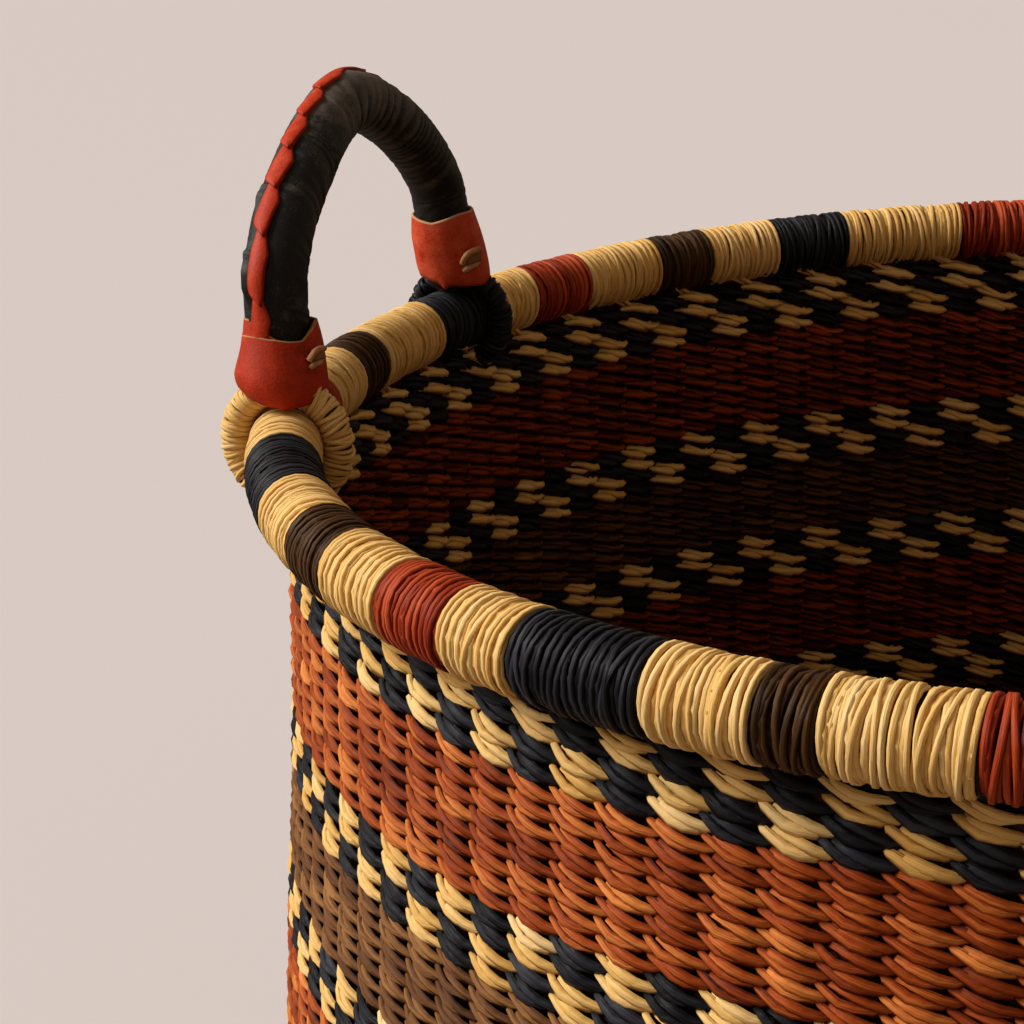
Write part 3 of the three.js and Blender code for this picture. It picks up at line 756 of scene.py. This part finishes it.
# The leather tube. Round the arch, turn 0 is its outer edge and +90 degrees is out of the basket (+X).
# Folds run round it aslant, and are deeper on the inside of the bend, where the leather is gathered.
def makeLeather(side, seed):
    rng = np.random.default_rng(seed)
    count, sides = 320, 36
    points, at, normal = archLine(handle["start"], count)
    turn = fullTurn(sides)[None]
    drift = smoothNoise(rng, at / 9, handle["drift"])[:, None]
    drift = drift + 0.3 * smoothNoise(rng, at / 13)[:, None] * np.cos(turn - 2)
    overSlant, outSlant = handle["aslant"]
    phase = at[:, None] / handle["wrinkle"] + overSlant * np.cos(turn) + outSlant * np.sin(turn) + drift
    strength = 0.6 + 0.5 * smoothNoise(rng, at / 5, 0.7)[:, None] - 0.4 * np.cos(turn)
    strength = strength + 0.35 * smoothNoise(rng, at / 7)[:, None] * np.sin(turn)
    fold = np.abs(np.sin(math.pi * phase)) ** 0.6 - 0.7
    fine = np.sin(2 * math.pi * (phase * 2.3 + 0.5 * np.sin(2 * turn)))
    reach = handle["radius"] - 0.1 + handle["wrinkleDepth"] * strength * fold + 0.04 * fine
    reach = reach + 0.15 * smoothNoise(rng, at / 14, 1.0)[:, None] * np.cos(turn - 0.8)
    flapAt, flapOut = handle["flap"]
    flap = np.exp(-((turn - math.radians(flapAt)) / 0.13) ** 2)
    bumps = 1 + 0.7 * smoothNoise(rng, at / 9, 1.0)[:, None]
    fromApex = np.abs(at / at[-1] - 0.5)[:, None]
    reach = reach + flapOut * flap * np.clip(bumps, 0.3, 1.8) * np.clip(fromApex / 0.15 - 0.6, 0.15, 1)
    underCuff = np.clip((12 - np.minimum(at, at[-1] - at)) / 4, 0, 1)[:, None]
    reach = reach * (1 - underCuff) + (handle["radius"] - 0.5) * underCuff
    outward = np.cos(turn)[..., None] * normal[:, None] + np.sin(turn)[..., None] * np.array([1.0, 0, 0])
    rings = toBasket(points[:, None] + reach[..., None] * outward, side)
    around = np.linspace(0, 2 * math.pi * handle["radius"], sides + 1)
    # painted light on top of the bend and on the folds' crests, and painted shade in the folds' hollows
    paintedLight = np.exp(-(fromApex / 0.17) ** 2) * (1 + np.cos(turn)) / 2
    tone = 0.12 * smoothNoise(rng, at / 5, 0.5)[:, None] + handle["paintedLight"] * paintedLight
    tone = tone + handle["crest"] * strength * fold
    piece = addTubes(side + "_leather_wrap", [blackLeather], around, [rings], [at], [tone])
    settle(piece, side + "_handle", side + "_handle_leather")


lacing = {
    "lobe": 13.2,  # mm from one lobe to the next
    # A lobe's two edges, aside from its middle, from its head (0) to its foot (1)
    "leftEdge": [(0.0, 1.5), (0.35, 2.4), (0.68, 3.0), (0.8, 2.2), (1.0, -0.9)],
    "rightEdge": [(0.0, -0.9), (0.2, -2.0), (0.4, -3.0), (0.6, -2.3), (1.0, -1.2)],
    "turn": 7,  # degrees from the arch's outer edge, out of the basket
    "start": 24.0,
}


# The red lacing: a strip wound along the outer edge, of which each turn shows as a lobe between two edges.
# Its surface is the crown 0.4 (1 - v^2) from edge to edge, and its foot lies over the head of the next.
def makeLacing(side, seed):
    rng = np.random.default_rng(seed)
    points, at, normal = archLine(lacing["start"], 900)
    total = at[-1]
    count = int(round(total / lacing["lobe"]))
    u = np.linspace(-1, 1, 23)[:, None]
    v = np.linspace(-1, 1, 11)[None]
    index = np.arange(2 * u.size * v.size).reshape(2, u.size, v.size)
    quads = sheetQuads(index)[0]
    allPoints, allUv, allTone = [], [], []
    for number in range(count):
        middle = (number + 0.5) * total / count
        half = total / count * 0.6
        towardsApex = 1 if middle < total / 2 else -1
        fromHead = (1 - u * towardsApex) / 2
        left, right = (np.interp(fromHead, *zip(*lacing[edge])) for edge in ("leftEdge", "rightEdge"))
        wide = 1 + rng.normal(0, 0.06)
        aside = wide * ((left + right) / 2 + (left - right) / 2 * v)
        where = np.broadcast_to(np.clip(middle + half * u, 0.2, total - 0.2), aside.shape)
        centre, square = (
            np.stack([np.interp(where, at, line[:, k]) for k in range(3)], -1) for line in (points, normal))
        turn = math.radians(lacing["turn"]) + aside / handle["radius"]
        outward = np.cos(turn)[..., None] * unit(square) + np.sin(turn)[..., None] * np.array([1.0, 0, 0])
        lift = 0.4 + 0.8 * fromHead + 0.4 * (1 - v ** 2)
        reach = handle["radius"] + np.stack([lift, np.full_like(lift, -0.6)])
        allPoints.append((centre + reach[..., None] * outward).reshape(-1, 3))
        flat = np.stack([where, aside], -1).reshape(-1, 2)
        allUv.append(np.concatenate([flat, flat + [0, 9]])[quads])
        # painted shade along each lobe's edges and at its foot, where it meets the next lobe
        tone = rng.normal(0.08, 0.06) - 0.5 * np.maximum(np.abs(v) ** 6, fromHead ** 12)
        allTone.append(np.tile(tone.ravel(), 2))
    allQuads = np.concatenate([quads + number * index.size for number in range(count)])
    piece = addPiece(side + "_red_lacing", toBasket(np.concatenate(allPoints), side),
                     [(allQuads, np.concatenate(allUv), 0)], [redLeather], np.concatenate(allTone))
    settle(piece, side + "_handle", side + "_handle_lacing")


peg = {
    "natural": {"azimuth": 163, "height": 22.4, "reach": 11.7, "scale": (0.86, 0.66), "twist": 8},
    "black": {"azimuth": 144, "height": 21.6, "reach": 11.4, "scale": (1.0, 0.92), "twist": 0},
    # A folded thong's top, foot and flat end: the middle line as (right, up, out) in mm, seen from outside,
    # then half width, half thickness and tone
    "ribbons": [
        ([(-3.3, -0.6, 0.3), (-2.9, 1.2, 1.3), (-1.7, 2.5, 1.6), (0.6, 2.8, 1.7), (2.8, 2.4, 1.4),
          (3.9, 1.7, 0.2)], 1.1, 0.9, 0.1),
        ([(-2.9, -3.7, -0.2), (-2.0, -2.7, 1.0), (0.2, -2.5, 1.3), (2.6, -2.0, 0.2)], 1.0, 0.8, 0.05),
        # the flat end, in the hollow, has a tone of -0.3: painted shade
        ([(0.5, 3.0, 0.2), (0.5, 1.4, 1.2), (0.3, -1.2, 1.2), (0.2, -2.9, -0.2)], 3.1, 0.5, -0.3),
    ],
}


# A cuff is one strip of leather wound a turn and a third round the leg, pulled tight at its top. Its top
# edge is given by the turn, in degrees from the strip's inner end, and its bottom edge by the azimuth round
# the leg. Its outer radius, from the bottom edge to the top, is given for its left side and its right side.
cuff = {
    "thickness": 0.9,
    "turn": (-30, 500),  # degrees, from its inner end to its outer end
    "lip": (14, 2.4, 0.5),  # at the slit beside the peg: degrees from it, half height, how far it stands out
    "natural": {
        "facing": 116.4,  # azimuth of the turn 0
        "topAt": [-30, 8, 32, 60, 90, 180, 262, 290, 311, 326, 348, 368, 396, 430, 456, 500],
        "top": [
            25.5, 27.4, 30.1, 32.8, 33.0, 32.5, 31.3, 30.9, 28.5, 26.3, 26.6, 27.3, 28.0, 28.6, 28.6, 28.6],
        "footAt": [0, 26, 47, 70, 92, 132, 152, 202, 230, 300],
        "foot": [15.5, 13.2, 13.1, 11.7, 10.2, 9.5, 10.3, 12.0, 13.0, 13.5],
        "nib": (113, 0.5),  # azimuth, and how far it hangs
        "left": [10.1, 12.0, 12.4, 11.6, 10.7, 10.0, 9.5],
        "right": [12.1, 12.1, 12.0, 11.8, 11.6, 11.1, 10.4],
        "leftAzimuth": 25,
        "stainAt": 330,  # turn of a small dark rub mark
        # painted shade: a darker tone than the other cuff's
        "tone": -0.05,
    },
    "black": {
        "facing": 118.0,
        "topAt": [-30, 60, 180, 270, 286, 306, 337, 364, 390, 412, 430, 450, 500],
        "top": [32.0, 33.2, 33.4, 34.0, 34.6, 35.0, 35.6, 34.9, 34.2, 35.0, 35.6, 35.6, 35.0],
        "footAt": [0, 22, 48, 66, 80, 111, 140, 175, 200, 240, 300],
        "foot": [16.0, 15.6, 16.6, 16.0, 15.2, 14.1, 12.8, 11.2, 10.0, 12.0, 14.5],
        "nib": (95, 1.5),
        "left": [9.9, 10.3, 10.5, 10.5, 10.4, 9.9, 9.3],
        "right": [11.6, 12.0, 11.9, 11.7, 11.3, 10.6, 9.9],
        "leftAzimuth": 18,
        "stainAt": 418,
        # painted light: a lighter tone than the other cuff's
        "tone": 0.3,
    },
}


strawAt = {1: "natural", -1: "black"}  # on a handle's two legs, at its +Y end (1) and its -Y end (-1)


def makeCuff(side, leg, place, seed):
    rng = np.random.default_rng(seed)
    thong, style = peg[strawAt[place]], cuff[strawAt[place]]
    count, rows = 180, 16
    unrolled = np.linspace(*cuff["turn"], count)
    top = np.interp(unrolled, style["topAt"], style["top"])
    top = np.convolve(np.pad(top, 1, "edge"), [0.25, 0.5, 0.25], "valid")
    top = top + 0.1 * smoothNoise(rng, unrolled / 25)
    degrees = style["facing"] - unrolled
    azimuth = np.radians(degrees)
    foot = np.interp(degrees, style["footAt"], style["foot"], period=360)
    foot = np.convolve(np.pad(foot, 4, "edge"), np.ones(9) / 9, "valid")
    foot = foot + 0.1 * smoothNoise(rng, unrolled / 18)
    nibAt, nibDrop = style["nib"]
    fromNib = (degrees - nibAt + 180) % 360 - 180
    foot = foot - nibDrop * np.exp(-(fromNib / 5.5) ** 2)
    rise = np.append(np.linspace(0, 0.98, rows - 1), 1)[None]  # the last row is the cut edge, turned out
    height = foot[:, None] + (top - foot)[:, None] * rise
    leftness = (1 + np.cos(azimuth - math.radians(style["leftAzimuth"])))[:, None] / 2
    knots = np.linspace(0, 1, len(style["left"]))
    left, right = (np.interp(rise, knots, style[edge]) for edge in ("left", "right"))
    outer = leftness * left + (1 - leftness) * right
    # each layer lies over the one before
    outer = outer - cuff["thickness"] * np.clip((330 - unrolled) / 250, 0, 1)[:, None]
    crease = 0.14 * np.sin(2 * math.pi * (rise * 1.8 + 0.2 * smoothNoise(rng, unrolled / 40)[:, None]))
    uneven = 0.3 + 0.7 * np.clip(smoothNoise(rng, unrolled / 35), -1, 1)[:, None]
    outer = outer + crease * uneven * (1 - rise)
    lipAside, lipHalf, lipOut = cuff["lip"]
    fromLip = (degrees - thong["azimuth"] + lipAside + 180) % 360 - 180
    nearLip = -((height - thong["height"]) / lipHalf) ** 2
    outer = outer + lipOut * np.exp(nearLip - (fromLip[:, None] / 5) ** 2)
    azimuth = azimuth[:, None]
    sheet = np.stack([polar(reach, azimuth, height) for reach in (outer - cuff["thickness"] * 0.9, outer)])
    quads, edgeCount = sheetQuads(np.arange(2 * count * rows).reshape(2, count, rows))
    flat = np.stack(np.broadcast_arrays(np.radians(unrolled)[:, None] * 10, height), -1).reshape(-1, 2)
    flat = np.concatenate([flat + [0, 40], flat])
    pale = np.zeros(len(quads), int)  # the cut edges
    pale[-edgeCount:] = 1
    pale[:-edgeCount].reshape(-1, rows - 1)[:, -1] = 1
    stain = np.exp(-((height - 24) / 1.6) ** 2 - ((unrolled[:, None] - style["stainAt"]) / 8) ** 2)
    shaded = np.exp(nearLip - ((fromLip[:, None] - lipAside) / 14) ** 2)
    tone = np.broadcast_to(style["tone"] - 0.35 * stain - 0.2 * shaded, (2, count, rows))
    points = toBasket(ontoLeg(sheet, place).reshape(-1, 3), side)
    piece = addPiece(leg + "_cuff_wrap", points, [(quads, flat[quads], pale)], [redLeather, rawhide], tone)
    settle(piece, side + "_handle", leg + "_cuff")


# The peg: a thong of rawhide pushed out through the cuff and folded over, its hollow darker than its rim as
# painted shade
def makePeg(side, leg, place, seed):
    rng = np.random.default_rng(seed)
    style = peg[strawAt[place]]
    azimuth = math.radians(style["azimuth"])
    out = np.array([math.cos(azimuth), math.sin(azimuth), 0])
    aside = np.array([-math.sin(azimuth), math.cos(azimuth), 0])
    up = np.array([0, 0, 1.0])
    centre = out * style["reach"] + up * style["height"]
    at = np.linspace(0, 1, 19)
    cos, sin = math.cos(math.radians(style["twist"])), math.sin(math.radians(style["twist"]))
    turned = np.array([[cos, sin, 0], [-sin, cos, 0], [0, 0, 1]])
    rings = []
    for route, halfWidth, halfThick, _ in peg["ribbons"]:
        route = np.array(route) * [*style["scale"], 1] @ turned
        knots = np.linspace(0, 1, len(route))
        ways = smooth(np.stack([np.interp(at, knots, route[:, k]) for k in range(3)], -1), 3)
        path = centre + ways[:, :1] * aside + ways[:, 1:2] * up + ways[:, 2:] * out
        wide = halfWidth * style["scale"][1] * (1 + 0.12 * smoothNoise(rng, at * 5))
        rings.append(sweep(path, out, wide, np.full(len(at), halfThick), roundShape(10)))
    rings = toBasket(ontoLeg(np.stack(rings), place), side)
    tone = [ribbon[3] + 0.12 * smoothNoise(rng, at * 6) for ribbon in peg["ribbons"]]
    piece = addTubes(leg + "_thong", [rawhide], np.linspace(0, 7, 11), rings, [at * 9] * len(rings), tone)
    settle(piece, side + "_handle", leg + "_peg")


# Straw round a loop, in two coils over each other on the ring about the hinge line. Round the ring from
# one side of the leg to the other, the straw's middle lies tube - straw from the ring. A turn's plane
# leans by a smooth random amount, as on the rim.
def makeLoop(side, leg, place, seed):
    rng = np.random.default_rng(seed)
    straw = strawAt[place]
    size = loop[straw]
    bare = math.radians(loop["bare"])
    span = 2 * math.pi - 2 * bare
    coils = []
    for pitch, depth, lean in loop["coils"]:
        turns = int(span * size["ring"] / pitch)
        number = np.arange(turns * loop["steps"] + 1) / loop["steps"]
        turn = number * 2 * math.pi
        thick = loop["straw"] * (1 + smoothNoise(rng, number, loop["sizeSpread"]))
        reach = size["tube"] - thick * 0.85 - depth
        reach = reach + np.clip(smoothNoise(rng, number * 1.7, loop["depthSpread"]), -0.4, 0.05)
        stray = lean * (smoothNoise(rng, number) * np.cos(turn) + smoothNoise(rng, number) * np.sin(turn))
        around = math.pi / 2 + bare + number / turns * span + stray / size["ring"]
        spoke = hingeSpoke(around)
        outward = np.cos(turn)[:, None] * spoke
        outward[:, 1] += np.sin(turn)
        path = size["ring"] * spoke + reach[:, None] * outward
        fromLeg = (around - math.pi / 2 + math.pi) % (2 * math.pi) - math.pi
        flare = loop["flare"][0] * np.exp(-(fromLeg / math.radians(loop["flare"][1])) ** 2)
        path[:, 1] *= size["spread"] + flare
        path[:, 1] += place * handle["halfSpan"]
        rings = sweep(path, outward, thick * loop["section"][0], thick * loop["section"][1], strawShape)
        tone = 0.5 + smoothNoise(rng, number * 1.2, loop["toneSpread"])
        coils.append((toBasket(rings, side), rng.uniform(0, 900) + turn * reach.mean(), tone))
    material = naturalStraw if straw == "natural" else blackStraw
    piece = addTubes(leg + "_loop_turns", [material], strawAround, *zip(*coils))
    settle(piece, side + "_handle", leg + "_loop_winding")


core = {"endHeights": [10.8, 12.5, 16.5, 24.0], "endRadii": [5.5, 7.4, 8.2, 8.0]}  # of the legs' ends


# The stalks inside: the rings that the straw is wound on, and the ends of the legs under the cuffs
def makeCore(side):
    spoke = hingeSpoke(fullTurn(48))
    upright = np.stack([np.zeros(4), np.zeros(4), core["endHeights"]], -1)
    endSize = np.array(core["endRadii"])
    rings, ends = [], []
    for place in (-1, 1):
        size = loop[strawAt[place]]
        path = size["ring"] * spoke + [0, place * handle["halfSpan"], 0]
        radius = np.full(48, size["tube"] - 2 * loop["straw"] + 0.15)
        rings.append(sweep(path, spoke, radius, radius, roundShape(10), closed=True))
        ends.append(sweep(ontoLeg(upright, place), np.array([1.0, 0, 0]), endSize, endSize, roundShape(16)))
    piece = addTubes(side + "_loop_stalks", [stalkStrawPaintedShade], np.linspace(0, 13, 11),
                     toBasket(np.stack(rings), side), [np.arange(49) * 1.95] * 2, closed=True)
    settle(piece, side + "_handle", side + "_handle_core")
    piece = addTubes(side + "_leg_ends", [stalkStrawPaintedShade], np.linspace(0, 40, 17),
                     toBasket(np.stack(ends), side), [np.array([0.0, 2, 5, 8])] * 2)
    settle(piece, side + "_handle", side + "_handle_core")


for sideNumber, sideName in enumerate(("left", "right")):
    makeLeather(sideName, 600 + sideNumber)
    makeLacing(sideName, 610 + sideNumber)
    makeCore(sideName)
    for endNumber, endName in enumerate(("front", "back")):
        endPlace = 1 if endNumber == sideNumber else -1
        endSeed = 620 + 10 * sideNumber + endNumber
        makeCuff(sideName, f"{sideName}_{endName}", endPlace, endSeed)
        makePeg(sideName, f"{sideName}_{endName}", endPlace, endSeed + 3)
        makeLoop(sideName, f"{sideName}_{endName}", endPlace, endSeed + 6)
print("handles made")


# Stage: a plain pale floor, one soft key light from the left, and a pale sky that fills the shadows
stage = {
    "floorColour": "#cec8c8",  # as seen
    "floorBounce": "#8a7f76",  # as the basket is lit by it
    "floorSize": 12.0,  # m
    "keyStrength": 4.4,
    "keyColour": (1.0, 0.97, 0.93),  # linear
    "keyAzimuth": 190,  # degrees from +X that the key comes from
    "keyElevation": 37,
    "keyAngle": 32,  # degrees across, so that shadows are soft
    "fillStrength": 0.34,
    "fillColour": "#e8ceb4",
}


# What the camera sees of the floor and sky, and the darker colour that lights the basket
def seenMix(tree, lighting, shown):
    ray = addNode(tree, "LightPath", {})
    seen = addNode(tree, "Math", {
        0: ray.outputs["Is Camera Ray"], 1: ray.outputs["Is Transmission Ray"]}, operation="MAXIMUM")
    mix = addNode(tree, "Mix", {"Factor": seen, 6: linear(lighting), 7: linear(shown)}, data_type="RGBA")
    return mix.outputs[2], seen


def makeStage():
    half = stage["floorSize"] / 2
    mesh = bpy.data.meshes.new("floor")
    corners = [(-half, -half, 0), (half, -half, 0), (half, half, 0), (-half, half, 0)]
    mesh.from_pydata(corners, [], [(0, 1, 2, 3)])
    floor = bpy.data.objects.new("floor", mesh)
    scene.collection.objects.link(floor)
    material, tree, shader = newMaterial("pale floor", {"Roughness": 0.9, "Specular IOR Level": 0.1})
    plug(tree, shader, {"Base Color": seenMix(tree, stage["floorBounce"], stage["floorColour"])[0]})
    mesh.materials.append(material)
    floor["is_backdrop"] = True
    world = bpy.data.worlds.new("pale room")
    world.use_nodes = True
    scene.world = world
    tree = world.node_tree
    sky, seen = seenMix(tree, stage["fillColour"], stage["floorColour"])
    strength = addNode(tree, "MapRange", {"Value": seen, "To Min": stage["fillStrength"], "To Max": 1.0})
    plug(tree, tree.nodes["Background"], {"Color": sky, "Strength": strength})
    sun = bpy.data.lights.new("key", "SUN")
    sun.energy = stage["keyStrength"]
    sun.angle = math.radians(stage["keyAngle"])
    sun.color = stage["keyColour"]
    key = bpy.data.objects.new("key", sun)
    azimuth, elevation = math.radians(stage["keyAzimuth"]), math.radians(stage["keyElevation"])
    source = Vector((math.cos(azimuth) * math.cos(elevation), math.sin(azimuth) * math.cos(elevation),
                     math.sin(elevation)))
    key.rotation_euler = source.to_track_quat("Z", "Y").to_euler()
    scene.collection.objects.link(key)


camera = {
    "place": (0.02593, -0.60852, 0.4997),
    "ahead": (-0.32062, 0.94721),  # level direction
    "pitch": 18.06,  # degrees down
    "roll": -2.92,
    "lens": 82.75,  # on a 36 mm sensor
}


def makeCamera():
    data = bpy.data.cameras.new("camera")
    data.lens, data.sensor_width = camera["lens"], 36
    made = bpy.data.objects.new("camera", data)
    pitch, roll = math.radians(camera["pitch"]), math.radians(camera["roll"])
    level = Vector((*camera["ahead"], 0)).normalized()
    ahead = level * math.cos(pitch) - Vector((0, 0, math.sin(pitch)))
    right = level.cross(Vector((0, 0, 1)))
    up = right.cross(ahead)
    tiltedRight = right * math.cos(roll) + up * math.sin(roll)
    tiltedUp = up * math.cos(roll) - right * math.sin(roll)
    turn = Matrix((tiltedRight, tiltedUp, -ahead)).transposed()
    made.matrix_world = Matrix.Translation(camera["place"]) @ turn.to_4x4()
    scene.collection.objects.link(made)
    scene.camera = made


makeStage()
makeCamera()
print("stage set")

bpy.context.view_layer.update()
meshes = [piece.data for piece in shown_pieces() if piece.type == "MESH"]
print("triangles:", sum(len(mesh.loops) - 2 * len(mesh.polygons) for mesh in meshes))
